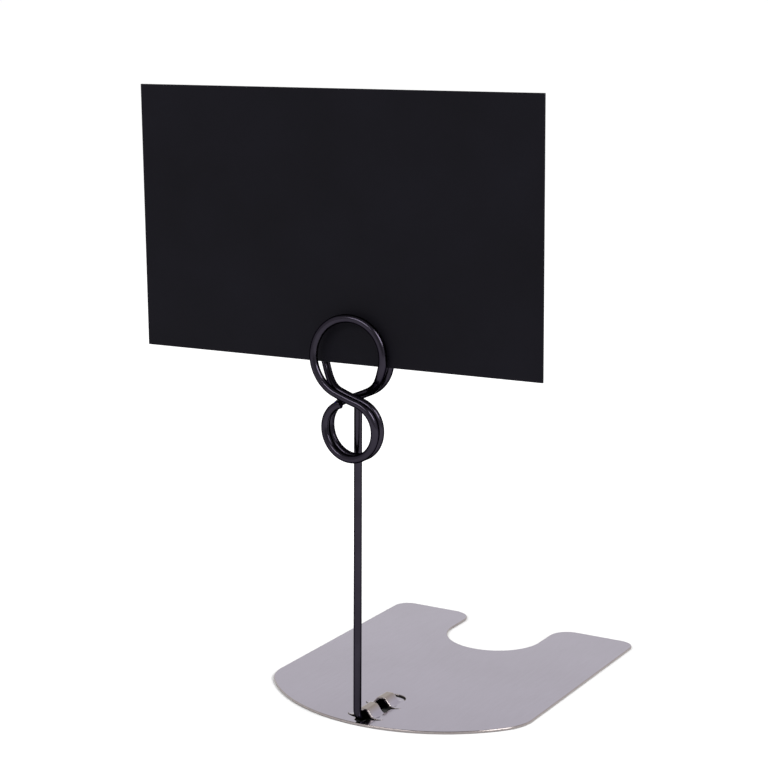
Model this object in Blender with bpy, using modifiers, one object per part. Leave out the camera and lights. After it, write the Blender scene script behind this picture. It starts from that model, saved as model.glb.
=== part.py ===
"""Price tag holder: a stamped steel base, one black wire with a double figure-eight ring clip, and a price card.

Metres, +Z up. The origin is on the underside of the base, midway between its sides and its ends. The front is at -Y.
"""

from math import acos, atan2, cos, pi, radians, sin, sqrt, tan

import bmesh
import bpy
import numpy as np
from mathutils import Vector
from mathutils.geometry import delaunay_2d_cdt

MM = 0.001

# Wire, in millimetres
WIRE_DIAMETER = 2.2
STRAND_GAP = 0.45
WIRE_LIFT = 0.05
FOOT_BEND_RADIUS = 3.0
STEM_SETBACK = 1.2
FOOT_END_INSET = 0.7
UPPER_RING_RADIUS = 9.7
UPPER_RING_HEIGHT = 101.3
UPPER_RING_OFFSET = 0.8
LOWER_RING_RADIUS = 8.0
LOWER_RING_OFFSET = 1.4
CROSSING_ANGLE = radians(20)
NECK_BEND_RADIUS = 2.0

# Strands are a little lower where they cross, and the wire's last end is turned in
RISING_SAG = 0.8
FALLING_SAG = 0.55
SAG_REACH = 12.6
END_CUT_BACK = radians(6)
END_TURN_IN = 0.75
END_TURN_ANGLE = radians(95)

# Shares of a turn of the upper ring at which the wire has come beside the card and at which it leaves it
BACK_TURN_BESIDE_CARD = (0.28, 0.83)
FRONT_TURN_BESIDE_CARD = (0.17, 0.25)

# Base plate
PLATE_WIDTH = 80.0
PLATE_DEPTH = 97.6
SHEET = 0.7
FRONT_BOW_EXCESS = 7.7
FRONT_CORNER_RADIUS = 13.9
REAR_CORNER_RADIUS = 4.7
NOTCH_RADIUS = 14.5
NOTCH_DEPTH = 28.5
NOTCH_MOUTH_RADIUS = 6.2

# Two ribs lanced up out of the sheet: crescent slits at both mouths and at the last tail, and slots for the wire
MOUTH_SETBACK = 5.6
BRIDGE_PITCH = 9.7
FIRST_LENGTH = 4.9
SECOND_LENGTH = 3.0
SLIT_HALF_WIDTH = 5.3
SLIT_WIDTH = 0.8
RIM_BULGE = 1.3
RIB_CROWN = 0.5
RIB_LEG = 1.3
RIB_SIDE_GAP = 0.3
BRIDGE_CLEARANCE = 0.3
FLARE_SHARE = 0.3
FLARE_LENGTH = 2.6
FLARE_CROWN = 1.0
FLARE_SHOULDER = 0.3
TAIL_ROUNDING = 0.6
TAIL_SIDE_GAP = 0.15
LAST_RAMP = 2.1
LAST_SLIT_HALF_WIDTH = 3.4
LAST_SLIT_WIDTH = 1.8
LAST_RIM_BULGE = 1.6
SLOT_FRONT_LAND = 1.3
WIRE_SIDE_GAP = 0.4

# Price card
CARD_WIDTH = 117.6
CARD_HEIGHT = 69.8
CARD_THICKNESS = 0.6
CARD_CLEARANCE = 0.3
CARD_OFFSET = -5.0
CARD_DROP = 2.6
CARD_TILT = radians(0.9)
CARD_EDGE_BREAK = 0.1

# How finely curves are drawn
WIRE_SIDES = 16
RING_POINTS = 40
CROSSING_POINTS = 3
BEND_POINTS = 9
BOW_STEPS = 14
CORNER_STEPS = 10
NOTCH_STEPS = 16
SLIT_STEPS = 28
SIDE_STEP = 0.4
BRIDGE_GRID = 0.45
GAP_SAMPLES = 2400

WIRE_RADIUS = WIRE_DIAMETER / 2
LAYER_STEP = WIRE_DIAMETER + STRAND_GAP
PLATE_FRONT = -PLATE_DEPTH / 2
PLATE_REAR = PLATE_DEPTH / 2
FRONT_BOW_RADIUS = PLATE_WIDTH / 2 + FRONT_BOW_EXCESS
BRIDGE_RISE = WIRE_LIFT + WIRE_DIAMETER + BRIDGE_CLEARANCE
RIB_FOOT = WIRE_RADIUS + RIB_SIDE_GAP + RIB_LEG
FLARE_FOOT = SLIT_HALF_WIDTH - FLARE_SHOULDER
# The top of the sheet goes round the rib's crown and legs on a wider line than its underside
CROWN_SPREAD = 0.45 * SHEET
LEG_SPREAD = 0.65 * SHEET
SLOT_HALF_WIDTH = WIRE_RADIUS + WIRE_SIDE_GAP
FIRST_MOUTH = PLATE_FRONT + MOUTH_SETBACK
FIRST_TAIL = FIRST_MOUTH + FIRST_LENGTH
SECOND_MOUTH = FIRST_MOUTH + BRIDGE_PITCH
SECOND_TAIL = SECOND_MOUTH + SECOND_LENGTH
LAST_SLIT = SECOND_TAIL + LAST_RAMP + LEG_SPREAD
TAIL_OPENING_HALF_WIDTH = RIB_FOOT + LEG_SPREAD + TAIL_SIDE_GAP
BRIDGES = [(FIRST_MOUTH, FIRST_TAIL), (SECOND_MOUTH, SECOND_TAIL)]
STEM_Y = PLATE_FRONT + STEM_SETBACK
FOOT_Z = WIRE_RADIUS + WIRE_LIFT
# The card stands midway between the rising strands, layers 0 and 1, and the falling ones, layers 2 and 3
CARD_PLANE = STEM_Y - 1.5 * LAYER_STEP


def smooth_step(value):
    value = min(max(value, 0.0), 1.0)
    return value * value * (3 - 2 * value)


def arc(centre_x, centre_y, radius, start, end, steps):
    """Points along a circular arc, both ends included."""
    angles = np.linspace(start, end, steps + 1)
    return [(centre_x + radius * cos(a), centre_y + radius * sin(a)) for a in angles]


def principled(name, colour, roughness, metallic):
    material = bpy.data.materials.new(name)
    material.use_nodes = True
    shader = material.node_tree.nodes["Principled BSDF"]
    shader.inputs["Base Color"].default_value = (*colour, 1.0)
    shader.inputs["Roughness"].default_value = roughness
    shader.inputs["Metallic"].default_value = metallic
    return material


def new_object(name, data, collection):
    made = bpy.data.objects.new(name, data)
    collection.objects.link(made)
    return made


def poly_spline(curve, points, cyclic):
    spline = curve.splines.new("POLY")
    spline.points.add(len(points) - 1)
    for target, point in zip(spline.points, points):
        target.co = (*(c * MM for c in point), 1.0)
    spline.use_cyclic_u = cyclic


# Base plate


def half_outline():
    """The plate's right half, from the middle of the front edge round to the bottom of the rear notch."""
    half_width = PLATE_WIDTH / 2
    bow_y = PLATE_FRONT + FRONT_BOW_RADIUS
    corner_x = half_width - FRONT_CORNER_RADIUS
    corner_y = bow_y - sqrt((FRONT_BOW_RADIUS - FRONT_CORNER_RADIUS) ** 2 - corner_x**2)
    meeting = atan2(corner_y - bow_y, corner_x)
    rear_x, rear_y = half_width - REAR_CORNER_RADIUS, PLATE_REAR - REAR_CORNER_RADIUS
    mouth_x, mouth_y = NOTCH_RADIUS + NOTCH_MOUTH_RADIUS, PLATE_REAR - NOTCH_MOUTH_RADIUS
    notch_y = PLATE_REAR - NOTCH_DEPTH + NOTCH_RADIUS
    points = arc(0, bow_y, FRONT_BOW_RADIUS, -pi / 2, meeting, BOW_STEPS)
    points += arc(corner_x, corner_y, FRONT_CORNER_RADIUS, meeting, 0, CORNER_STEPS)[1:]
    points += arc(rear_x, rear_y, REAR_CORNER_RADIUS, 0, pi / 2, CORNER_STEPS)
    points += arc(mouth_x, mouth_y, NOTCH_MOUTH_RADIUS, pi / 2, pi, CORNER_STEPS)
    points += arc(0, notch_y, NOTCH_RADIUS, 0, -pi / 2, NOTCH_STEPS)
    return points


def plate_outline():
    """The whole outline, anticlockwise."""
    right = half_outline()
    return right + [(-x, y) for x, y in reversed(right[1:-1])]


def mouth_outline(mouth, half_width, front, rounding):
    """A mouth's crescent slit and the opening in front of it, clockwise from the slit's left end."""
    front_bulge = RIM_BULGE + SLIT_WIDTH
    corner = acos(half_width / SLIT_HALF_WIDTH)
    rim = [(-SLIT_HALF_WIDTH * cos(a), mouth - RIM_BULGE * sin(a)) for a in np.linspace(0, pi, SLIT_STEPS + 1)]
    turns = np.linspace(0, corner, SLIT_STEPS // 2 + 1)
    right = [(SLIT_HALF_WIDTH * cos(a), mouth - front_bulge * sin(a)) for a in turns]
    side_length = right[-1][1] - front - rounding
    side_steps = max(round(side_length / SIDE_STEP), 1)
    right += [(half_width, right[-1][1] - side_length * k / side_steps) for k in range(1, side_steps)]
    turns = np.linspace(0, pi, SLIT_STEPS + 1)
    round_end = [(half_width * cos(a), front + rounding * (1 - sin(a))) for a in turns]
    left = [(-x, y) for x, y in reversed(right[1:])]
    return rim + right[1:] + round_end + left


def tail_outline():
    """The crescent slit behind the last tail, clockwise from its right end."""
    turns = np.linspace(0, pi, SLIT_STEPS + 1)
    back_bulge = LAST_RIM_BULGE + LAST_SLIT_WIDTH
    rim = [(LAST_SLIT_HALF_WIDTH * cos(a), LAST_SLIT + LAST_RIM_BULGE * sin(a)) for a in turns]
    back = [(-LAST_SLIT_HALF_WIDTH * cos(a), LAST_SLIT + back_bulge * sin(a)) for a in turns]
    return rim + back[1:-1]


def opening_outlines():
    """The openings at the first mouth, between the ribs, and behind the last tail."""
    return [
        mouth_outline(FIRST_MOUTH, SLOT_HALF_WIDTH, PLATE_FRONT + SLOT_FRONT_LAND, SLOT_HALF_WIDTH),
        mouth_outline(SECOND_MOUTH, TAIL_OPENING_HALF_WIDTH, FIRST_TAIL - TAIL_ROUNDING, TAIL_ROUNDING),
        tail_outline(),
    ]


def bridge_at(x, y):
    """The mouth and tail of the bridge that a place belongs to, from its rim to its end, if any."""
    bulge = RIM_BULGE * sqrt(max(1 - (x / SLIT_HALF_WIDTH) ** 2, 0))
    for mouth, tail in BRIDGES:
        end = LAST_SLIT if tail == SECOND_TAIL else tail
        if mouth - bulge - 0.001 < y < end + 0.001:
            return mouth, tail
    return None


def rib_profile(x, crown, foot):
    """1 over a level crown, down to 0 at the foot."""
    return smooth_step((foot - abs(x)) / (foot - crown))


def sheet_heights(x, y):
    """The heights of the sheet's underside and of its top; a rib hugs the wire and flares at its mouth."""
    bridge = bridge_at(x, y)
    if bridge is None:
        return 0.0, SHEET
    mouth, tail = bridge
    rise_under = BRIDGE_RISE * smooth_step(1 - (y - tail) / LAST_RAMP)
    rise_over = BRIDGE_RISE * smooth_step(1 - (y - tail - LEG_SPREAD) / LAST_RAMP)
    flare = FLARE_SHARE * smooth_step(1 - (y - mouth + RIM_BULGE) / FLARE_LENGTH)
    wide = flare * rib_profile(x, FLARE_CROWN, FLARE_FOOT)
    under = (1 - flare) * rib_profile(x, RIB_CROWN, RIB_FOOT) + wide
    over = (1 - flare) * rib_profile(x, RIB_CROWN + CROWN_SPREAD, RIB_FOOT + LEG_SPREAD) + wide
    return rise_under * under, rise_over * over + SHEET


def inside(loop, x, y):
    """Whether a place is inside a loop."""
    crossings = 0
    for (x0, y0), (x1, y1) in zip(loop, loop[1:] + loop[:1]):
        if (y0 > y) != (y1 > y) and x < x0 + (y - y0) * (x1 - x0) / (y1 - y0):
            crossings += 1
    return crossings % 2 == 1


def bridge_grid(openings):
    """Places on the bridges, a little away from the openings."""
    columns = np.arange(-FLARE_FOOT, FLARE_FOOT + BRIDGE_GRID / 2, BRIDGE_GRID)
    rows = np.arange(FIRST_MOUTH - RIM_BULGE, LAST_SLIT, BRIDGE_GRID)
    edge_points = np.array([point for loop in openings for point in loop])
    kept = []
    for y in rows:
        for x in columns:
            near = np.min(np.hypot(*(edge_points - (x, y)).T)) < BRIDGE_GRID / 2
            if not near and not any(inside(loop, x, y) for loop in openings):
                kept.append((x, y))
    return kept


def build_base_plate(parts, material):
    """The sheet between its outline and openings: a top, an underside, and an edge along every loop."""
    openings = opening_outlines()
    shape = bmesh.new()
    flat, borders, tops, bottoms = [], [], [], []

    def add_place(x, y):
        under, over = sheet_heights(x, y)
        flat.append(Vector((x, y)))
        tops.append(shape.verts.new(Vector((x, y, over)) * MM))
        bottoms.append(shape.verts.new(Vector((x, y, under)) * MM))

    for loop in [plate_outline(), *openings]:
        first, count = len(flat), len(loop)
        for x, y in loop:
            add_place(x, y)
        for i in range(count):
            here, there = first + i, first + (i + 1) % count
            borders.append((here, there))
            shape.faces.new((tops[here], bottoms[here], bottoms[there], tops[there]))
    for x, y in bridge_grid(openings):
        add_place(x, y)
    points, _, triangles, sources, _, _ = delaunay_2d_cdt(flat, borders, [], 2, 1e-6)
    for corners in triangles:
        middle = sum((points[c] for c in corners), Vector((0, 0))) / 3
        if any(inside(loop, middle.x, middle.y) for loop in openings):
            continue
        indices = [sources[c][0] for c in corners]
        shape.faces.new([tops[i] for i in indices])
        shape.faces.new([bottoms[i] for i in reversed(indices)])
    bmesh.ops.recalc_face_normals(shape, faces=shape.faces)
    mesh = bpy.data.meshes.new("base_plate")
    shape.to_mesh(mesh)
    shape.free()
    mesh.materials.append(material)
    return new_object("base_plate", mesh, parts)


# Wire


def ring_centres():
    """The upper and lower ring centres; the strands between them cross at the crossing angle."""
    upper = (UPPER_RING_OFFSET, UPPER_RING_HEIGHT)
    distance = (UPPER_RING_RADIUS + LOWER_RING_RADIUS) / cos(CROSSING_ANGLE)
    sideways = LOWER_RING_OFFSET - UPPER_RING_OFFSET
    return upper, (LOWER_RING_OFFSET, UPPER_RING_HEIGHT - sqrt(distance**2 - sideways**2))


def sag(amount, run):
    """How much lower a strand is at some run of wire from the crossing."""
    return amount * 0.5 * (1 + cos(pi * min(abs(run) / SAG_REACH, 1)))


def wire_path():
    """The wire's centre line, from the end of its foot to its last end.

    Strands that rise through the crossing pass behind those that fall through it. The stem and the turn after it
    rise at layers 0 and 1, and the two turns fall at layers 2 and 3, counted towards the front.
    """
    upper, lower = ring_centres()
    lean = atan2(upper[0] - lower[0], upper[1] - lower[1])
    rise, fall = CROSSING_ANGLE - lean, CROSSING_ANGLE + lean
    share = UPPER_RING_RADIUS / (UPPER_RING_RADIUS + LOWER_RING_RADIUS)
    crossing = [u + (w - u) * share for u, w in zip(upper, lower)]
    above, below = UPPER_RING_RADIUS * tan(CROSSING_ANGLE), LOWER_RING_RADIUS * tan(CROSSING_ANGLE)
    layer = [STEM_Y - LAYER_STEP * n for n in range(4)]
    round_angle = 2 * pi - 2 * CROSSING_ANGLE
    card_half = CARD_THICKNESS / 2 + CARD_CLEARANCE + WIRE_RADIUS
    back_turn, front_turn = CARD_PLANE + card_half, CARD_PLANE - card_half

    def foot():
        points = [(0, SECOND_TAIL - FOOT_END_INSET, FOOT_Z)]
        for angle in np.linspace(0, pi / 2, BEND_POINTS):
            y = STEM_Y + FOOT_BEND_RADIUS * (1 - sin(angle))
            points.append((0, y, FOOT_Z + FOOT_BEND_RADIUS * (1 - cos(angle))))
        return points

    def straight(heading, start, end, amount, y):
        """The line through the crossing between two runs from it, without its ends."""
        points = []
        for run in np.linspace(start, end, CROSSING_POINTS + 2)[1:-1]:
            z = crossing[1] + run * sin(heading) - sag(amount, run)
            points.append((crossing[0] + run * cos(heading), y, z))
        return points

    def neck():
        """The stem's sideways bend into the line on which strands rise to the upper ring."""
        corner = crossing[1] - crossing[0] * tan(rise)
        start = corner - NECK_BEND_RADIUS * tan((pi / 2 - rise) / 2)
        points = []
        for heading in np.linspace(pi / 2, rise, BEND_POINTS):
            x = NECK_BEND_RADIUS * (1 - sin(heading))
            run = (x - crossing[0]) / cos(rise)
            points.append((x, STEM_Y, start + NECK_BEND_RADIUS * cos(heading) - sag(RISING_SAG, run)))
        return points + straight(rise, run, above, RISING_SAG, STEM_Y)

    def upper_turn(enter, hold, leave, beside_card):
        """Anticlockwise from the bottom; the turn comes beside the card and leaves it again."""
        settle, release = beside_card
        points = []
        for turned in np.linspace(0, 1, RING_POINTS):
            angle = rise + turned * round_angle
            y = enter + (hold - enter) * smooth_step(turned / settle)
            y += (leave - hold) * smooth_step((turned - release) / (1 - release))
            z = upper[1] - UPPER_RING_RADIUS * cos(angle)
            z -= sag(RISING_SAG, above + turned * round_angle * UPPER_RING_RADIUS)
            z -= sag(FALLING_SAG, above + (1 - turned) * round_angle * UPPER_RING_RADIUS)
            points.append((upper[0] + UPPER_RING_RADIUS * sin(angle), y, z))
        return points

    def lower_turn(enter, leave, cut_back=0.0, turn_in=0.0):
        """Clockwise from the top; a last turn is cut back and turned in at its end."""
        points = []
        last = 1 - cut_back / round_angle
        for turned in np.linspace(0, last, RING_POINTS):
            angle = fall + turned * round_angle
            near_end = max(1 - (last - turned) * round_angle / END_TURN_ANGLE, 0)
            radius = LOWER_RING_RADIUS - turn_in * near_end**2
            y = enter + (leave - enter) * smooth_step(turned)
            z = lower[1] + radius * cos(angle)
            z -= sag(FALLING_SAG, below + turned * round_angle * LOWER_RING_RADIUS)
            z -= sag(RISING_SAG, below + (1 - turned) * round_angle * LOWER_RING_RADIUS)
            points.append((lower[0] + radius * sin(angle), y, z))
        return points

    path = foot() + neck()
    path += upper_turn(layer[0], back_turn, layer[2], BACK_TURN_BESIDE_CARD)
    path += straight(-fall, -above, below, FALLING_SAG, layer[2])
    path += lower_turn(layer[2], layer[1])
    path += straight(rise, -below, above, RISING_SAG, layer[1])
    path += upper_turn(layer[1], front_turn, layer[3], FRONT_TURN_BESIDE_CARD)
    path += straight(-fall, -above, below, FALLING_SAG, layer[3])
    path += lower_turn(layer[3], layer[2], END_CUT_BACK, END_TURN_IN)
    return path


def least_gap(path):
    """The least space between stretches of the wire that are more than four diameters apart along it."""
    corners = np.array(path)
    steps = np.linalg.norm(np.diff(corners, axis=0), axis=1)
    run = np.concatenate([[0], np.cumsum(steps)])
    places = np.linspace(0, run[-1], GAP_SAMPLES)
    points = np.stack([np.interp(places, run, corners[:, k]) for k in range(3)], axis=1)
    apart = np.linalg.norm(points[:, None] - points[None], axis=2)
    apart[np.abs(places[:, None] - places[None]) < 4 * WIRE_DIAMETER] = np.inf
    return apart.min() - WIRE_DIAMETER


def build_wire_holder(parts, material):
    path = wire_path()
    print(f"wire_holder: least gap to itself {least_gap(path):.2f} mm")
    curve = bpy.data.curves.new("wire_holder", "CURVE")
    curve.dimensions = "3D"
    curve.bevel_depth = WIRE_RADIUS * MM
    curve.bevel_resolution = WIRE_SIDES // 2 - 2
    curve.use_fill_caps = True
    curve.materials.append(material)
    poly_spline(curve, path, cyclic=False)
    return new_object("wire_holder", curve, parts)


# Card


def build_price_card(parts, material):
    shape = bmesh.new()
    bmesh.ops.create_cube(shape, size=1.0)
    bmesh.ops.scale(shape, verts=shape.verts, vec=(CARD_WIDTH * MM, CARD_THICKNESS * MM, CARD_HEIGHT * MM))
    mesh = bpy.data.meshes.new("price_card")
    shape.to_mesh(mesh)
    shape.free()
    mesh.materials.append(material)
    card = new_object("price_card", mesh, parts)
    card_z = UPPER_RING_HEIGHT - CARD_DROP + CARD_HEIGHT / 2
    card.location = (CARD_OFFSET * MM, CARD_PLANE * MM, card_z * MM)
    card.rotation_euler = (0, -CARD_TILT, 0)
    edges = card.modifiers.new("edge break", "BEVEL")
    edges.width = CARD_EDGE_BREAK * MM
    edges.segments = 1
    return card


def main():
    for old in list(bpy.data.objects):
        bpy.data.objects.remove(old)
    parts = bpy.data.collections.new("price_tag_holder")
    bpy.context.scene.collection.children.link(parts)
    steel = principled("satin_steel", (0.42, 0.40, 0.44), 0.38, 1.0)
    coat = principled("black_coat", (0.02, 0.019, 0.022), 0.25, 0.0)
    board = principled("black_card", (0.012, 0.0115, 0.015), 0.6, 0.0)
    build_base_plate(parts, steel)
    build_wire_holder(parts, coat)
    build_price_card(parts, board)


main()
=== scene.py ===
"""Looks of the price tag holder: finer pieces, materials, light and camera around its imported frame."""

from math import acos, atan2, cos, pi, radians, sin, sqrt, tan

import bmesh
import bpy
import numpy as np
from mathutils import Matrix, Vector
from mathutils.geometry import delaunay_2d_cdt


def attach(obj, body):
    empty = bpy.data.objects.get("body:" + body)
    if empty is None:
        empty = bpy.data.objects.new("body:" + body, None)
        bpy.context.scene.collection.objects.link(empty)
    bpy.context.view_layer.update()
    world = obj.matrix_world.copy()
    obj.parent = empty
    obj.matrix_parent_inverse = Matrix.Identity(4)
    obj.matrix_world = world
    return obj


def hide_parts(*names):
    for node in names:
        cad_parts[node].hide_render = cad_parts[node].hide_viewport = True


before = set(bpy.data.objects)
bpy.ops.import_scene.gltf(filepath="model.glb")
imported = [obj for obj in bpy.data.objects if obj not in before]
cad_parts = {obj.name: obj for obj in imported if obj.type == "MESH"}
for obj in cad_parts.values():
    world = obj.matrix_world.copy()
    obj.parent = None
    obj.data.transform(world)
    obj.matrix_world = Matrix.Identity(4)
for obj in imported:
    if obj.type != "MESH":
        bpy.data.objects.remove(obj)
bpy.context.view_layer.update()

MM = 0.001

# Wire, in millimetres, as in the part
WIRE_DIAMETER = 2.2
STRAND_GAP = 0.45
WIRE_LIFT = 0.05
FOOT_BEND_RADIUS = 3.0
STEM_SETBACK = 1.2
FOOT_END_INSET = 0.7
UPPER_RING_RADIUS = 9.7
UPPER_RING_HEIGHT = 101.3
UPPER_RING_OFFSET = 0.8
LOWER_RING_RADIUS = 8.0
LOWER_RING_OFFSET = 1.4
CROSSING_ANGLE = radians(20)
NECK_BEND_RADIUS = 2.0
RISING_SAG = 0.8
FALLING_SAG = 0.55
SAG_REACH = 12.6
END_CUT_BACK = radians(6)
END_TURN_IN = 0.75
END_TURN_ANGLE = radians(95)
BACK_TURN_BESIDE_CARD = (0.28, 0.83)
FRONT_TURN_BESIDE_CARD = (0.17, 0.25)
CARD_THICKNESS = 0.6
CARD_CLEARANCE = 0.3

# Base plate, as in the part
PLATE_WIDTH = 80.0
PLATE_DEPTH = 97.6
SHEET = 0.7
FRONT_BOW_EXCESS = 7.7
FRONT_CORNER_RADIUS = 13.9
REAR_CORNER_RADIUS = 4.7
NOTCH_RADIUS = 14.5
NOTCH_DEPTH = 28.5
NOTCH_MOUTH_RADIUS = 6.2
MOUTH_SETBACK = 5.6
BRIDGE_PITCH = 9.7
FIRST_LENGTH = 4.9
SECOND_LENGTH = 3.0
SLIT_HALF_WIDTH = 5.3
SLIT_WIDTH = 0.8
RIM_BULGE = 1.3
RIB_CROWN = 0.5
RIB_LEG = 1.3
RIB_SIDE_GAP = 0.3
BRIDGE_CLEARANCE = 0.3
FLARE_SHARE = 0.3
FLARE_LENGTH = 2.6
FLARE_CROWN = 1.0
FLARE_SHOULDER = 0.3
TAIL_ROUNDING = 0.6
TAIL_SIDE_GAP = 0.15
LAST_RAMP = 2.1
LAST_SLIT_HALF_WIDTH = 3.4
LAST_SLIT_WIDTH = 1.8
LAST_RIM_BULGE = 1.6
SLOT_FRONT_LAND = 1.3
WIRE_SIDE_GAP = 0.4

# Finer than the part
OUTER_ROUNDING = 0.22
EDGE_ROUNDING = 0.14
ROUNDING_STEPS = 4
OUTLINE_STEPS = 40
SLIT_STEPS = 72
SIDE_STEP = 0.22
BRIDGE_GRID = 0.22
GRID_REACH = 6.5
RING_POINTS = 120
CROSSING_POINTS = 12
BEND_POINTS = 24
WIRE_SIDES = 24
END_CHAMFER = 0.2
BOX_MARGIN = 0.02

# Triangulation, in millimetres apart from its kind
TRIANGLES_WITHIN_BORDERS = 2
SAME_POINT = 1e-6
EDGE_TOLERANCE = 0.001

# Places and lengths that follow from these, in millimetres
WIRE_RADIUS = WIRE_DIAMETER / 2
LAYER_STEP = WIRE_DIAMETER + STRAND_GAP
PLATE_FRONT = -PLATE_DEPTH / 2
PLATE_REAR = PLATE_DEPTH / 2
FRONT_BOW_RADIUS = PLATE_WIDTH / 2 + FRONT_BOW_EXCESS
BRIDGE_RISE = WIRE_LIFT + WIRE_DIAMETER + BRIDGE_CLEARANCE
RIB_FOOT = WIRE_RADIUS + RIB_SIDE_GAP + RIB_LEG
FLARE_FOOT = SLIT_HALF_WIDTH - FLARE_SHOULDER
CROWN_SPREAD = 0.45 * SHEET
LEG_SPREAD = 0.65 * SHEET
SLOT_HALF_WIDTH = WIRE_RADIUS + WIRE_SIDE_GAP
FIRST_MOUTH = PLATE_FRONT + MOUTH_SETBACK
FIRST_TAIL = FIRST_MOUTH + FIRST_LENGTH
SECOND_MOUTH = FIRST_MOUTH + BRIDGE_PITCH
SECOND_TAIL = SECOND_MOUTH + SECOND_LENGTH
LAST_SLIT = SECOND_TAIL + LAST_RAMP + LEG_SPREAD
TAIL_OPENING_HALF_WIDTH = RIB_FOOT + LEG_SPREAD + TAIL_SIDE_GAP
BRIDGES = [(FIRST_MOUTH, FIRST_TAIL), (SECOND_MOUTH, SECOND_TAIL)]
STEM_Y = PLATE_FRONT + STEM_SETBACK
FOOT_Z = WIRE_RADIUS + WIRE_LIFT
CARD_PLANE = STEM_Y - 1.5 * LAYER_STEP

# Camera, from a fit to the photograph: place and clipping in metres, lens and sensor in millimetres
CAMERA_PLACE = (0.2572, -0.4867, 0.2000)
CAMERA_RIGHT = (0.86886, 0.49503, 0.00512)
CAMERA_UP = (-0.10635, 0.17653, 0.97853)
CAMERA_LENS = 94.5
CAMERA_SENSOR = 36.0
CAMERA_CLIP = (0.01, 100.0)

# Walls: the doorway's direction, cosines of the angle from it, and shares of straight up
DOORWAY = (0.483, -0.85, 0.208)
DOORWAY_RIM = 0.87
DOORWAY_CORE = 0.97
CEILING_START = 0.6
CEILING_FULL = 0.8

# Floor and lamps: metres, but the reach of the plate's shadow is in millimetres
FLOOR_HALF_SIZE = 20.0
FLOOR_DROP = 0.0001
PALE_FLOOR = (0.8, 0.8, 0.8)
# Painted shade: the floor's colour under the ribs, seen through the slits
PAINTED_SHADE_FLOOR = (0.05, 0.05, 0.05)
SHADOW_REACH = 40.0
LAMP_AIM = (0.0, -0.05, 0.1)

# Painted highlight on the ribs' crests, a warmer tint: shares of their height
CREST_HIGHLIGHT_START = 0.5
CREST_HIGHLIGHT_FULL = 0.995

# Places of the Mix node's sockets for colours
MIX_FACTOR = 0
MIX_FIRST = 6
MIX_SECOND = 7
MIX_RESULT = 2


def linear(red, green, blue):
    """A colour given as 0 to 255 in sRGB, as linear light."""
    channels = [c / 255 for c in (red, green, blue)]
    return tuple(c / 12.92 if c <= 0.04045 else ((c + 0.055) / 1.055) ** 2.4 for c in channels)


def smooth_step(value):
    value = min(max(value, 0.0), 1.0)
    return value * value * (3 - 2 * value)


def new_object(name, data):
    made = bpy.data.objects.new(name, data)
    bpy.context.scene.collection.objects.link(made)
    return made


# Materials


class Tree:
    """A short way to write a node tree."""

    def __init__(self, node_tree):
        self.tree = node_tree
        self.tree.nodes.clear()

    def add(self, kind, inputs=None, **settings):
        """A node with its settings; an input takes a value or another node's output."""
        node = self.tree.nodes.new(kind)
        for name, value in settings.items():
            setattr(node, name, value)
        for name, value in (inputs or {}).items():
            if isinstance(value, bpy.types.NodeSocket):
                self.tree.links.new(value, node.inputs[name])
            else:
                node.inputs[name].default_value = value
        return node

    def coordinates(self, kind):
        return self.add("ShaderNodeTexCoord").outputs[kind]

    def axes(self, vector):
        """A vector's outputs X, Y and Z."""
        return self.add("ShaderNodeSeparateXYZ", {"Vector": vector}).outputs

    def noise(self, coordinates, cells, detail):
        """Noise with so many cells per metre along X, Y and Z."""
        placed = self.add("ShaderNodeMapping", {"Vector": coordinates, "Scale": cells}).outputs["Vector"]
        inputs = {"Vector": placed, "Scale": 1.0, "Detail": detail, "Roughness": 0.5}
        return self.add("ShaderNodeTexNoise", inputs).outputs["Fac"]

    def spread(self, value, low, high, from_low=0.3, from_high=0.7, **settings):
        """A value spread between two others and held there; noise mostly runs from 0.3 to 0.7."""
        inputs = {"Value": value, "From Min": from_low, "From Max": from_high, "To Min": low, "To Max": high}
        return self.add("ShaderNodeMapRange", inputs, **settings).outputs["Result"]

    def tint(self, factor, first, second):
        """A colour between a first one, which may be another node's, and a second one."""
        start = first if isinstance(first, bpy.types.NodeSocket) else (*first, 1.0)
        inputs = {MIX_FACTOR: factor, MIX_FIRST: start, MIX_SECOND: (*second, 1.0)}
        return self.add("ShaderNodeMix", inputs, data_type="RGBA").outputs[MIX_RESULT]

    def math(self, operation, first, second=0.0):
        return self.add("ShaderNodeMath", {0: first, 1: second}, operation=operation).outputs["Value"]

    def vector_math(self, operation, first, second=(0.0, 0.0, 0.0), output="Vector"):
        inputs = {0: first, 1: second}
        return self.add("ShaderNodeVectorMath", inputs, operation=operation).outputs[output]

    def bump(self, height, strength, distance):
        inputs = {"Height": height, "Strength": strength, "Distance": distance}
        return self.add("ShaderNodeBump", inputs).outputs["Normal"]


def new_material(name):
    material = bpy.data.materials.new(name)
    material.use_nodes = True
    return material, Tree(material.node_tree)


def finish_material(tree, inputs):
    shader = tree.add("ShaderNodeBsdfPrincipled", inputs)
    tree.add("ShaderNodeOutputMaterial", {"Surface": shader.outputs["BSDF"]})


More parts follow.
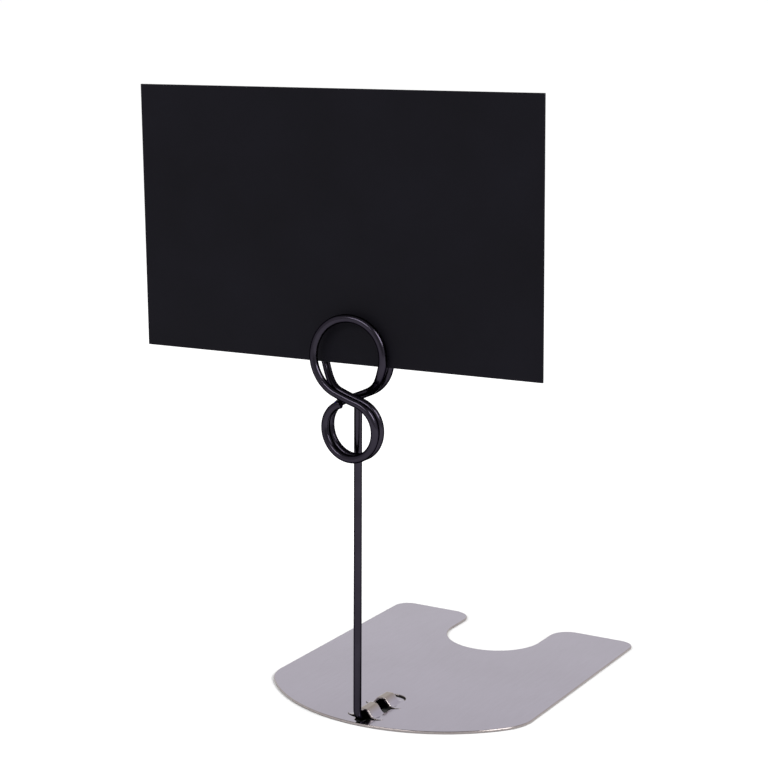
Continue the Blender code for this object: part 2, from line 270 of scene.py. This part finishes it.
def steel_material():
    """Satin stainless sheet: a fine grain along its depth, faint clouds, and crests painted warmer as a
    highlight.
    """
    material, tree = new_material("satin_steel")
    place = tree.coordinates("Object")
    grain = tree.noise(place, (5200, 160, 5200), detail=3)
    clouds = tree.noise(place, (28, 28, 28), detail=3)
    speckle = tree.noise(place, (700, 700, 700), detail=2)
    tone = tree.spread(tree.math("ADD", grain, clouds), 0.0, 1.0, 0.75, 1.25)
    height = tree.axes(place)["Z"]
    crest = (SHEET + BRIDGE_RISE) * MM
    # Painted highlight: the ribs' crests are tinted warmer by height, standing in for the warm light along
    # them
    painted_crest_highlight = tree.spread(height, 0.0, 1.0, CREST_HIGHLIGHT_START * crest, CREST_HIGHLIGHT_FULL * crest)
    sheet_colour = tree.tint(tone, linear(154, 148, 160), linear(160, 154, 167))
    inputs = {
        "Base Color": tree.tint(painted_crest_highlight, sheet_colour, linear(140, 129, 123)),
        "Metallic": 1.0,
        "Roughness": tree.spread(speckle, 0.11, 0.15),
        "Normal": tree.bump(grain, 0.02, 0.00002),
    }
    finish_material(tree, inputs)
    return material


def cut_edge_material():
    """The sheared edge of the sheet: warmer, with marks of the shear across it."""
    material, tree = new_material("cut_edge")
    place = tree.coordinates("Object")
    shear = tree.noise(place, (1800, 1800, 90), detail=2)
    tone = tree.spread(shear, 0.0, 1.0)
    inputs = {
        "Base Color": tree.tint(tone, linear(146, 138, 138), linear(160, 152, 150)),
        "Metallic": 1.0,
        "Roughness": tree.spread(shear, 0.14, 0.22),
        "Normal": tree.bump(shear, 0.15, 0.00003),
    }
    finish_material(tree, inputs)
    return material


def coat_material():
    """Black plating on the wire, half gloss, with a faint orange peel; its rims stay dark."""
    material, tree = new_material("black_coat")
    place = tree.coordinates("Object")
    peel = tree.noise(place, (900, 900, 900), detail=2)
    clouds = tree.noise(place, (160, 160, 160), detail=3)
    tone = tree.spread(clouds, 0.0, 1.0)
    inputs = {
        "Base Color": tree.tint(tone, linear(39, 36, 43), linear(44, 41, 49)),
        "Metallic": 1.0,
        "Specular Tint": (0.02, 0.02, 0.02, 1.0),
        "Roughness": tree.spread(clouds, 0.17, 0.23),
        "Normal": tree.bump(peel, 0.04, 0.00004),
    }
    finish_material(tree, inputs)
    return material


def card_material():
    """Matte black card with a very fine tooth."""
    material, tree = new_material("black_card")
    place = tree.coordinates("Object")
    tooth = tree.noise(place, (3600, 3600, 3600), detail=3)
    clouds = tree.noise(place, (45, 45, 45), detail=4)
    tone = tree.spread(clouds, 0.0, 1.0)
    inputs = {
        "Base Color": tree.tint(tone, linear(12, 11, 16), linear(15, 14, 20)),
        "Roughness": tree.spread(tooth, 0.5, 0.65),
        "Specular IOR Level": 0.05,
        "Normal": tree.bump(tooth, 0.12, 0.00003),
    }
    finish_material(tree, inputs)
    return material


# Base plate


def arc(centre_x, centre_y, radius, start, end):
    """Points along a circular arc, both ends included."""
    angles = np.linspace(start, end, OUTLINE_STEPS + 1)
    return [(centre_x + radius * cos(a), centre_y + radius * sin(a)) for a in angles]


def plate_outline():
    """The plate's outline, anticlockwise from the middle of the front edge."""
    half_width = PLATE_WIDTH / 2
    bow_y = PLATE_FRONT + FRONT_BOW_RADIUS
    corner_x = half_width - FRONT_CORNER_RADIUS
    corner_y = bow_y - sqrt((FRONT_BOW_RADIUS - FRONT_CORNER_RADIUS) ** 2 - corner_x**2)
    meeting = atan2(corner_y - bow_y, corner_x)
    rear_x, rear_y = half_width - REAR_CORNER_RADIUS, PLATE_REAR - REAR_CORNER_RADIUS
    mouth_x, mouth_y = NOTCH_RADIUS + NOTCH_MOUTH_RADIUS, PLATE_REAR - NOTCH_MOUTH_RADIUS
    notch_y = PLATE_REAR - NOTCH_DEPTH + NOTCH_RADIUS
    right = arc(0, bow_y, FRONT_BOW_RADIUS, -pi / 2, meeting)
    right += arc(corner_x, corner_y, FRONT_CORNER_RADIUS, meeting, 0)[1:]
    right += arc(rear_x, rear_y, REAR_CORNER_RADIUS, 0, pi / 2)
    right += arc(mouth_x, mouth_y, NOTCH_MOUTH_RADIUS, pi / 2, pi)
    right += arc(0, notch_y, NOTCH_RADIUS, 0, -pi / 2)
    return right + [(-x, y) for x, y in reversed(right[1:-1])]


def mouth_outline(mouth, half_width, front, rounding):
    """A mouth's crescent slit and the opening in front of it, clockwise from the slit's left end."""
    front_bulge = RIM_BULGE + SLIT_WIDTH
    corner = acos(half_width / SLIT_HALF_WIDTH)
    turns = np.linspace(0, pi, SLIT_STEPS + 1)
    rim = [(-SLIT_HALF_WIDTH * cos(a), mouth - RIM_BULGE * sin(a)) for a in turns]
    side_turns = np.linspace(0, corner, SLIT_STEPS // 2 + 1)
    right = [(SLIT_HALF_WIDTH * cos(a), mouth - front_bulge * sin(a)) for a in side_turns]
    side_length = right[-1][1] - front - rounding
    side_steps = max(round(side_length / SIDE_STEP), 1)
    right += [(half_width, right[-1][1] - side_length * k / side_steps) for k in range(1, side_steps)]
    round_end = [(half_width * cos(a), front + rounding * (1 - sin(a))) for a in turns]
    left = [(-x, y) for x, y in reversed(right[1:])]
    return rim + right[1:] + round_end + left


def tail_outline():
    """The crescent slit behind the last tail, clockwise from its right end."""
    turns = np.linspace(0, pi, SLIT_STEPS + 1)
    back_bulge = LAST_RIM_BULGE + LAST_SLIT_WIDTH
    rim = [(LAST_SLIT_HALF_WIDTH * cos(a), LAST_SLIT + LAST_RIM_BULGE * sin(a)) for a in turns]
    back = [(-LAST_SLIT_HALF_WIDTH * cos(a), LAST_SLIT + back_bulge * sin(a)) for a in turns]
    return rim + back[1:-1]


def opening_outlines():
    """The openings at the first mouth, between the ribs, and behind the last tail."""
    return [
        mouth_outline(FIRST_MOUTH, SLOT_HALF_WIDTH, PLATE_FRONT + SLOT_FRONT_LAND, SLOT_HALF_WIDTH),
        mouth_outline(SECOND_MOUTH, TAIL_OPENING_HALF_WIDTH, FIRST_TAIL - TAIL_ROUNDING, TAIL_ROUNDING),
        tail_outline(),
    ]


def bridge_at(x, y):
    """The mouth and tail of the bridge that a place belongs to, from its rim to its end, if any."""
    bulge = RIM_BULGE * sqrt(max(1 - (x / SLIT_HALF_WIDTH) ** 2, 0))
    for mouth, tail in BRIDGES:
        end = LAST_SLIT if tail == SECOND_TAIL else tail
        if mouth - bulge - EDGE_TOLERANCE < y < end + EDGE_TOLERANCE:
            return mouth, tail
    return None


def rib_profile(x, crown, foot):
    """1 over a level crown, down to 0 at the foot."""
    return smooth_step((foot - abs(x)) / (foot - crown))


def sheet_heights(x, y):
    """The heights of the sheet's underside and of its top; a rib hugs the wire and flares at its mouth."""
    bridge = bridge_at(x, y)
    if bridge is None:
        return 0.0, SHEET
    mouth, tail = bridge
    rise_under = BRIDGE_RISE * smooth_step(1 - (y - tail) / LAST_RAMP)
    rise_over = BRIDGE_RISE * smooth_step(1 - (y - tail - LEG_SPREAD) / LAST_RAMP)
    flare = FLARE_SHARE * smooth_step(1 - (y - mouth + RIM_BULGE) / FLARE_LENGTH)
    wide = flare * rib_profile(x, FLARE_CROWN, FLARE_FOOT)
    under = (1 - flare) * rib_profile(x, RIB_CROWN, RIB_FOOT) + wide
    over = (1 - flare) * rib_profile(x, RIB_CROWN + CROWN_SPREAD, RIB_FOOT + LEG_SPREAD) + wide
    return rise_under * under, rise_over * over + SHEET


def inside(loop, x, y):
    """Whether a place is inside a loop."""
    crossings = 0
    for (x0, y0), (x1, y1) in zip(loop, loop[1:] + loop[:1]):
        if (y0 > y) != (y1 > y) and x < x0 + (y - y0) * (x1 - x0) / (y1 - y0):
            crossings += 1
    return crossings % 2 == 1


def away_from_sheet(loop):
    """At each point of a loop, the level direction that leads out of the sheet."""
    points = np.array(loop)
    onwards = np.roll(points, -1, axis=0) - points
    onwards /= np.linalg.norm(onwards, axis=1)[:, None]
    along = onwards + np.roll(onwards, 1, axis=0)
    along /= np.linalg.norm(along, axis=1)[:, None]
    return [Vector((dy, -dx, 0.0)) for dx, dy in along]


def edge_profile(rounding):
    """The rounded edge from top to underside, as (millimetres out of the sheet, share of its height)."""
    turns = np.linspace(0, pi / 2, ROUNDING_STEPS + 1)
    share = rounding / SHEET
    top = [(rounding * (sin(t) - 1), 1 - share * (1 - cos(t))) for t in turns]
    return top + [(out, 1 - up) for out, up in reversed(top)]


def bridge_grid(openings):
    """Places on and round the bridges, a little away from the openings."""
    columns = np.arange(-GRID_REACH, GRID_REACH + BRIDGE_GRID / 2, BRIDGE_GRID)
    rows = np.arange(FIRST_MOUTH - RIM_BULGE, SECOND_TAIL + GRID_REACH, BRIDGE_GRID)
    edge_points = np.array([point for loop in openings for point in loop])
    kept = []
    for y in rows:
        for x in columns:
            near = np.min(np.hypot(*(edge_points - (x, y)).T)) < EDGE_ROUNDING + BRIDGE_GRID / 2
            if not near and not any(inside(loop, x, y) for loop in openings):
                kept.append((x, y))
    return kept


def build_plate(materials):
    """The sheet between its outline and openings, with both faces, and a rounded edge along every loop."""
    openings = opening_outlines()
    outline = plate_outline()
    shape = bmesh.new()
    flat, borders, tops, bottoms, inset_loops = [], [], [], [], []
    for loop in [outline, *openings]:
        first, count = len(flat), len(loop)
        rounding = OUTER_ROUNDING if loop is outline else EDGE_ROUNDING
        profile = edge_profile(rounding)
        rings = [[] for _ in profile]
        for (x, y), out in zip(loop, away_from_sheet(loop)):
            under, over = sheet_heights(x, y)
            for ring, (outwards, share) in zip(rings, profile):
                place = Vector((x, y, under + (over - under) * share)) + out * outwards
                ring.append(shape.verts.new(place * MM))
            flat.append(Vector((x, y)) - out.to_2d() * rounding)
        tops += rings[0]
        bottoms += rings[-1]
        inset_loops.append([tuple(point) for point in flat[first:]])
        borders += [(first + i, first + (i + 1) % count) for i in range(count)]
        for upper, lower in zip(rings, rings[1:]):
            for i in range(count):
                j = (i + 1) % count
                face = shape.faces.new((upper[i], lower[i], lower[j], upper[j]))
                face.material_index = 1
    for x, y in bridge_grid(openings):
        under, over = sheet_heights(x, y)
        flat.append(Vector((x, y)))
        tops.append(shape.verts.new(Vector((x, y, over)) * MM))
        bottoms.append(shape.verts.new(Vector((x, y, under)) * MM))
    points, _, triangles, sources, _, _ = delaunay_2d_cdt(
        flat, borders, [], TRIANGLES_WITHIN_BORDERS, SAME_POINT
    )
    for corners in triangles:
        middle = sum((points[c] for c in corners), Vector((0, 0))) / 3
        if any(inside(loop, middle.x, middle.y) for loop in inset_loops[1:]):
            continue
        indices = [sources[c][0] for c in corners]
        shape.faces.new([tops[i] for i in indices])
        shape.faces.new([bottoms[i] for i in reversed(indices)])
    bmesh.ops.recalc_face_normals(shape, faces=shape.faces)
    for face in shape.faces:
        face.smooth = True
    for edge in shape.edges:
        kinds = {face.material_index for face in edge.link_faces}
        edge.smooth = len(kinds) == 1
    mesh = bpy.data.meshes.new("plate_sheet")
    shape.to_mesh(mesh)
    shape.free()
    for material in materials:
        mesh.materials.append(material)
    return new_object("plate_sheet", mesh)


# Wire


def ring_centres():
    """The upper and lower ring centres; the strands between them cross at the crossing angle."""
    upper = (UPPER_RING_OFFSET, UPPER_RING_HEIGHT)
    distance = (UPPER_RING_RADIUS + LOWER_RING_RADIUS) / cos(CROSSING_ANGLE)
    sideways = LOWER_RING_OFFSET - UPPER_RING_OFFSET
    return upper, (LOWER_RING_OFFSET, UPPER_RING_HEIGHT - sqrt(distance**2 - sideways**2))


def sag(amount, run):
    """How much lower a strand is at some run of wire from the crossing."""
    return amount * 0.5 * (1 + cos(pi * min(abs(run) / SAG_REACH, 1)))


def wire_path():
    """The wire's centre line, from the end of its foot to its last end.

    Strands that rise through the crossing pass behind those that fall through it. The stem and the turn
    after it rise at layers 0 and 1, and the two turns fall at layers 2 and 3, counted towards the front.
    """
    upper, lower = ring_centres()
    lean = atan2(upper[0] - lower[0], upper[1] - lower[1])
    rise, fall = CROSSING_ANGLE - lean, CROSSING_ANGLE + lean
    share = UPPER_RING_RADIUS / (UPPER_RING_RADIUS + LOWER_RING_RADIUS)
    crossing = [u + (w - u) * share for u, w in zip(upper, lower)]
    above, below = UPPER_RING_RADIUS * tan(CROSSING_ANGLE), LOWER_RING_RADIUS * tan(CROSSING_ANGLE)
    layer = [STEM_Y - LAYER_STEP * n for n in range(4)]
    round_angle = 2 * pi - 2 * CROSSING_ANGLE
    card_half = CARD_THICKNESS / 2 + CARD_CLEARANCE + WIRE_RADIUS
    back_turn, front_turn = CARD_PLANE + card_half, CARD_PLANE - card_half

    def foot():
        points = [(0, SECOND_TAIL - FOOT_END_INSET, FOOT_Z)]
        for angle in np.linspace(0, pi / 2, BEND_POINTS):
            y = STEM_Y + FOOT_BEND_RADIUS * (1 - sin(angle))
            points.append((0, y, FOOT_Z + FOOT_BEND_RADIUS * (1 - cos(angle))))
        return points

    def straight(heading, start, end, amount, y):
        """The line through the crossing between two runs from it, without its ends."""
        points = []
        for run in np.linspace(start, end, CROSSING_POINTS + 2)[1:-1]:
            z = crossing[1] + run * sin(heading) - sag(amount, run)
            points.append((crossing[0] + run * cos(heading), y, z))
        return points

    def neck():
        """The stem's sideways bend into the line on which strands rise to the upper ring."""
        corner = crossing[1] - crossing[0] * tan(rise)
        start = corner - NECK_BEND_RADIUS * tan((pi / 2 - rise) / 2)
        points = []
        for heading in np.linspace(pi / 2, rise, BEND_POINTS):
            x = NECK_BEND_RADIUS * (1 - sin(heading))
            run = (x - crossing[0]) / cos(rise)
            points.append((x, STEM_Y, start + NECK_BEND_RADIUS * cos(heading) - sag(RISING_SAG, run)))
        return points + straight(rise, run, above, RISING_SAG, STEM_Y)

    def upper_turn(enter, hold, leave, beside_card):
        """Anticlockwise from the bottom; the turn comes beside the card and leaves it again."""
        settle, release = beside_card
        points = []
        for turned in np.linspace(0, 1, RING_POINTS):
            angle = rise + turned * round_angle
            y = enter + (hold - enter) * smooth_step(turned / settle)
            y += (leave - hold) * smooth_step((turned - release) / (1 - release))
            z = upper[1] - UPPER_RING_RADIUS * cos(angle)
            z -= sag(RISING_SAG, above + turned * round_angle * UPPER_RING_RADIUS)
            z -= sag(FALLING_SAG, above + (1 - turned) * round_angle * UPPER_RING_RADIUS)
            points.append((upper[0] + UPPER_RING_RADIUS * sin(angle), y, z))
        return points

    def lower_turn(enter, leave, cut_back=0.0, turn_in=0.0):
        """Clockwise from the top; a last turn is cut back and turned in at its end."""
        points = []
        last = 1 - cut_back / round_angle
        for turned in np.linspace(0, last, RING_POINTS):
            angle = fall + turned * round_angle
            near_end = max(1 - (last - turned) * round_angle / END_TURN_ANGLE, 0)
            radius = LOWER_RING_RADIUS - turn_in * near_end**2
            y = enter + (leave - enter) * smooth_step(turned)
            z = lower[1] + radius * cos(angle)
            z -= sag(FALLING_SAG, below + turned * round_angle * LOWER_RING_RADIUS)
            z -= sag(RISING_SAG, below + (1 - turned) * round_angle * LOWER_RING_RADIUS)
            points.append((lower[0] + radius * sin(angle), y, z))
        return points

    path = foot() + neck()
    path += upper_turn(layer[0], back_turn, layer[2], BACK_TURN_BESIDE_CARD)
    path += straight(-fall, -above, below, FALLING_SAG, layer[2])
    path += lower_turn(layer[2], layer[1])
    path += straight(rise, -below, above, RISING_SAG, layer[1])
    path += upper_turn(layer[1], front_turn, layer[3], FRONT_TURN_BESIDE_CARD)
    path += straight(-fall, -above, below, FALLING_SAG, layer[3])
    path += lower_turn(layer[3], layer[2], END_CUT_BACK, END_TURN_IN)
    return path


def build_wire(material):
    """One round wire with a small chamfer at each cut end."""
    path = [Vector(point) for point in wire_path()]
    for end, inner in ((0, 1), (-1, -2)):
        inwards = (path[inner] - path[end]).normalized()
        chamfer_start = path[end] + inwards * END_CHAMFER
        path.insert(1 if end == 0 else len(path) - 1, chamfer_start)
    curve = bpy.data.curves.new("bent_wire", "CURVE")
    curve.dimensions = "3D"
    curve.bevel_depth = (WIRE_RADIUS - BOX_MARGIN) * MM
    curve.bevel_resolution = WIRE_SIDES // 2 - 2
    curve.use_fill_caps = True
    curve.materials.append(material)
    spline = curve.splines.new("POLY")
    spline.points.add(len(path) - 1)
    for target, point in zip(spline.points, path):
        target.co = (*(point * MM), 1.0)
    for end in (0, -1):
        spline.points[end].radius = 1 - END_CHAMFER / WIRE_RADIUS
    return new_object("bent_wire", curve)


# Stage


def background_share(tree):
    """1 for rays that see the background, or show it in metal or glass, 0 for rays that only carry light."""
    path = tree.add("ShaderNodeLightPath").outputs
    seen = tree.math("MAXIMUM", path["Is Camera Ray"], path["Is Glossy Ray"])
    return tree.math("MAXIMUM", seen, path["Is Transmission Ray"])


def build_world(ambient, ceiling, doorway):
    """White walls with a darker doorway to the front, under a darker ceiling; the ambient light is even."""
    world = bpy.data.worlds.new("studio")
    bpy.context.scene.world = world
    world.use_nodes = True
    tree = Tree(world.node_tree)
    direction = tree.coordinates("Generated")
    height = tree.axes(direction)["Z"]
    towards = tree.vector_math("DOT_PRODUCT", direction, DOORWAY, output="Value")
    soft = {"interpolation_type": "SMOOTHSTEP"}
    below_ceiling = tree.spread(height, 1.0, ceiling, CEILING_START, CEILING_FULL, **soft)
    beside_doorway = tree.spread(towards, 1.0, doorway, DOORWAY_RIM, DOORWAY_CORE, **soft)
    walls = tree.math("MULTIPLY", below_ceiling, beside_doorway)
    strength = tree.spread(background_share(tree), ambient, walls, 0.0, 1.0)
    light = tree.add("ShaderNodeBackground", {"Color": (1, 1, 1, 1), "Strength": strength})
    tree.add("ShaderNodeOutputWorld", {"Surface": light.outputs["Background"]})


def beyond_bridges(tree, place):
    """1 on the floor in the open, 0 on the floor under the sheet around its bridges, where it is painted dark
    as shade.
    """
    front = PLATE_FRONT + SLOT_FRONT_LAND / 2
    back = LAST_SLIT + LAST_RIM_BULGE + LAST_SLIT_WIDTH + SLOT_FRONT_LAND
    middle = Vector((0.0, (front + back) / 2, 0.0)) * MM
    per_half_size = (1 / (2 * SLIT_HALF_WIDTH * MM), 2 / ((back - front) * MM), 0.0)
    from_middle = tree.vector_math("SUBTRACT", place, middle)
    shares = tree.vector_math("MULTIPLY", from_middle, per_half_size)
    distance = tree.vector_math("LENGTH", shares, output="Value")
    return tree.math("GREATER_THAN", distance, 1.0)


def beyond_plate(tree, place):
    """0 on the floor under the plate and close to it, rising to 1 at some millimetres from its edge."""
    axes = tree.axes(place)
    bow_y = (PLATE_FRONT + FRONT_BOW_RADIUS) * MM
    before_bow = tree.math("MINIMUM", tree.math("SUBTRACT", axes["Y"], bow_y), 0.0)
    arm = tree.add("ShaderNodeCombineXYZ", {"X": axes["X"], "Y": before_bow}).outputs["Vector"]
    from_bow = tree.vector_math("LENGTH", arm, output="Value")
    from_front = tree.math("SUBTRACT", from_bow, FRONT_BOW_RADIUS * MM)
    from_side = tree.math("SUBTRACT", tree.math("ABSOLUTE", axes["X"]), PLATE_WIDTH / 2 * MM)
    from_rear = tree.math("SUBTRACT", axes["Y"], PLATE_REAR * MM)
    distance = tree.math("MAXIMUM", tree.math("MAXIMUM", from_front, from_side), from_rear)
    return tree.spread(distance, 0.0, 1.0, 0.0, SHADOW_REACH * MM)


def build_floor(glow):
    """A wide pale floor, painted dark as shade under the ribs; away from the plate a glow is seen but not
    cast.
    """
    shape = bmesh.new()
    bmesh.ops.create_grid(shape, x_segments=1, y_segments=1, size=FLOOR_HALF_SIZE)
    mesh = bpy.data.meshes.new("floor")
    shape.to_mesh(mesh)
    shape.free()
    material, tree = new_material("pale_floor")
    place = tree.coordinates("Object")
    seen = tree.math("MULTIPLY", background_share(tree), beyond_plate(tree, place))
    inputs = {
        # Painted shade: the floor under the ribs is dark so the slits look dark
        "Base Color": tree.tint(beyond_bridges(tree, place), PAINTED_SHADE_FLOOR, PALE_FLOOR),
        "Roughness": 0.9,
        "Specular IOR Level": 0.0,
        "Emission Color": (1.0, 1.0, 1.0, 1.0),
        "Emission Strength": tree.math("MULTIPLY", seen, glow),
    }
    finish_material(tree, inputs)
    mesh.materials.append(material)
    floor = new_object("floor", mesh)
    floor.location.z = -FLOOR_DROP


def soft_box(name, place, width, height, brightness):
    """A lamp turned to the rings; its brightness is that of its face, where 1 is white."""
    lamp = bpy.data.lights.new(name, "AREA")
    lamp.shape = "RECTANGLE"
    lamp.size, lamp.size_y = width, height
    lamp.energy = pi * width * height * brightness
    made = new_object(name, lamp)
    made.location = place
    made.rotation_euler = (Vector(LAMP_AIM) - Vector(place)).to_track_quat("-Z", "Y").to_euler()


def build_camera():
    data = bpy.data.cameras.new("photo_camera")
    data.lens = CAMERA_LENS
    data.sensor_width = CAMERA_SENSOR
    data.clip_start, data.clip_end = CAMERA_CLIP
    camera = new_object("photo_camera", data)
    right, up = Vector(CAMERA_RIGHT), Vector(CAMERA_UP)
    turned = Matrix((right, up, right.cross(up))).transposed()
    camera.matrix_world = Matrix.Translation(CAMERA_PLACE) @ turned.to_4x4()
    bpy.context.scene.camera = camera


plate = build_plate([steel_material(), cut_edge_material()])
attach(plate, "stand")
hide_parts("base_plate")

wire = build_wire(coat_material())
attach(wire, "stand")
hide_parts("wire_holder")

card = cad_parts["price_card"]
card.material_slots[0].material = card_material()

build_world(ambient=0.7, ceiling=0.4, doorway=0.6)
build_floor(glow=0.45)
soft_box("front", place=(-0.1, -0.87, 0.68), width=0.5, height=0.25, brightness=11.0)
soft_box("right", place=(0.79, -0.2, 0.68), width=0.4, height=0.5, brightness=14.0)
build_camera()
bpy.context.scene.view_settings.view_transform = "Standard"
